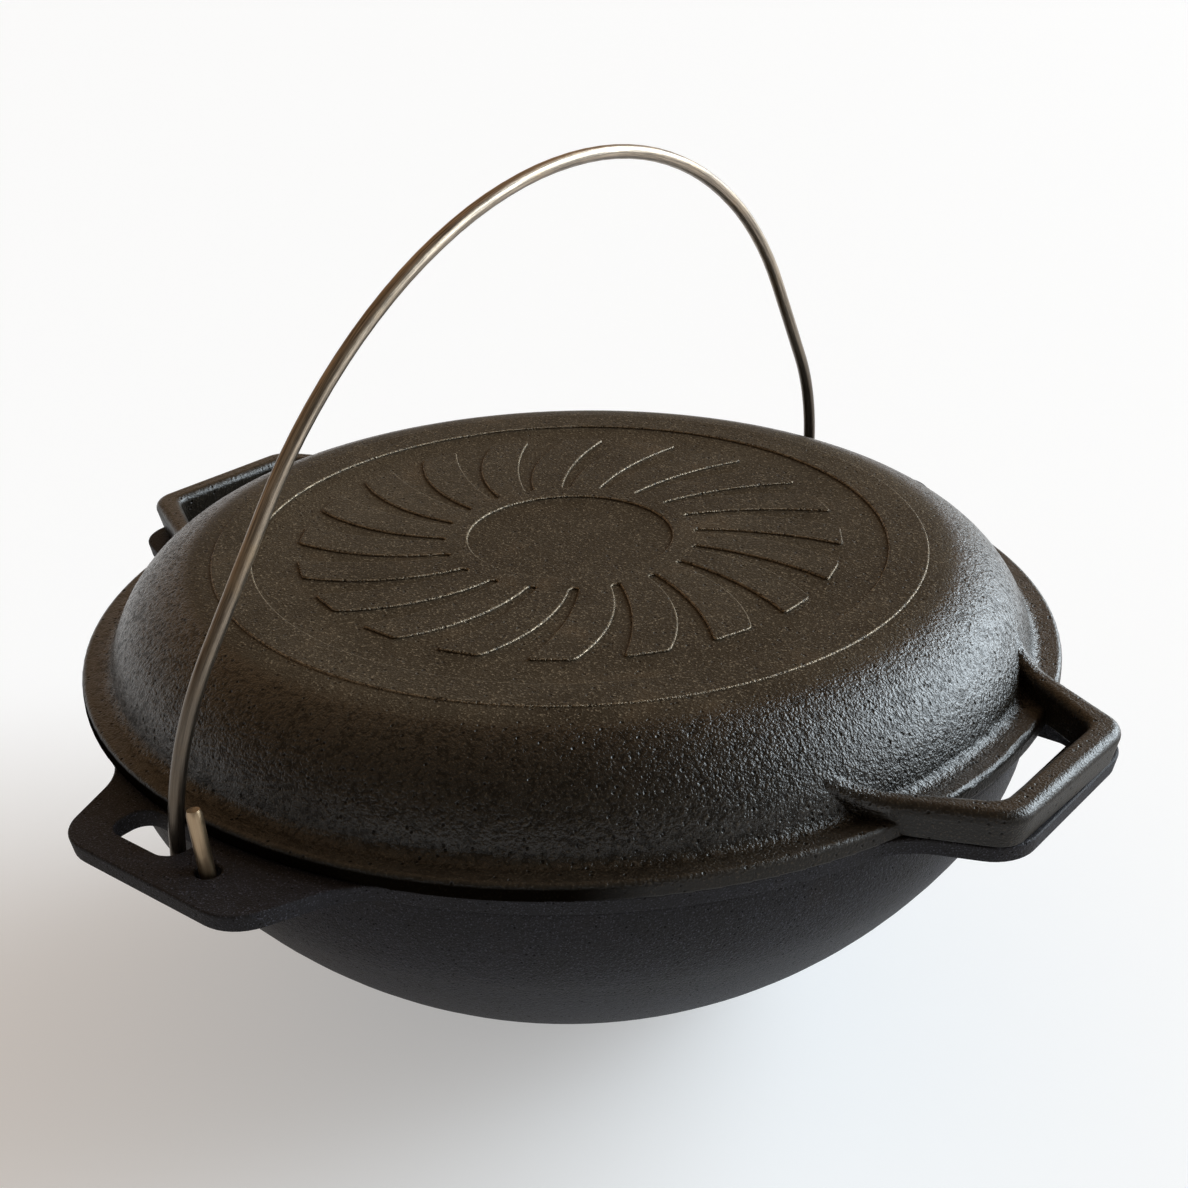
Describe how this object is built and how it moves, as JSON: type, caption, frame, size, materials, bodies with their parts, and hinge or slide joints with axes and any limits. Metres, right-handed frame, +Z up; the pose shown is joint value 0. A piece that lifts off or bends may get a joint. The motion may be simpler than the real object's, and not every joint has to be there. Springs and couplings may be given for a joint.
{
  "type": "cauldron",
  "caption": "Round-bottomed cast iron cauldron with lugs on its rim, a swinging wire bail, and a domed lid with loop handles that turns over to serve as a frying pan.",
  "frame": {"origin": "on the ground under the middle of the bowl's flat foot, at the middle of the whole object's width and depth", "axes": "+Z up, out of the bowl; X along the lid's loop handles; Y along the lugs that hold the bail, with the taller wire tip at -Y; the bail stands leaning a few degrees towards +X"},
  "size_m": [0.4108, 0.4116, 0.3046],
  "materials": {
    "pot_iron": "bare cast iron, seasoned, fine sand-cast grain, cool grey-black",
    "lid_iron": "bare cast iron, seasoned, orange-peel grain, warm brown-black",
    "bail_steel": "drawn steel wire, slightly stained"
  },
  "bodies": {
    "pot": {"cauldron_pot": "pot_iron"},
    "lid": {"lid_pan": "lid_iron"},
    "bail": {"bail_handle": "bail_steel"}
  },
  "joints": [
    {"name": "lid_lift", "type": "slide", "parent": "pot", "child": "lid", "axis": [0, 0, 1], "range_m": [0, 0.012]},
    {"name": "bail_swing", "type": "hinge", "parent": "pot", "child": "bail", "pos_m": [0, 0, 0.124], "axis": [-0.0269, 0.9996, 0], "range_deg": [-53, 11]}
  ]
}
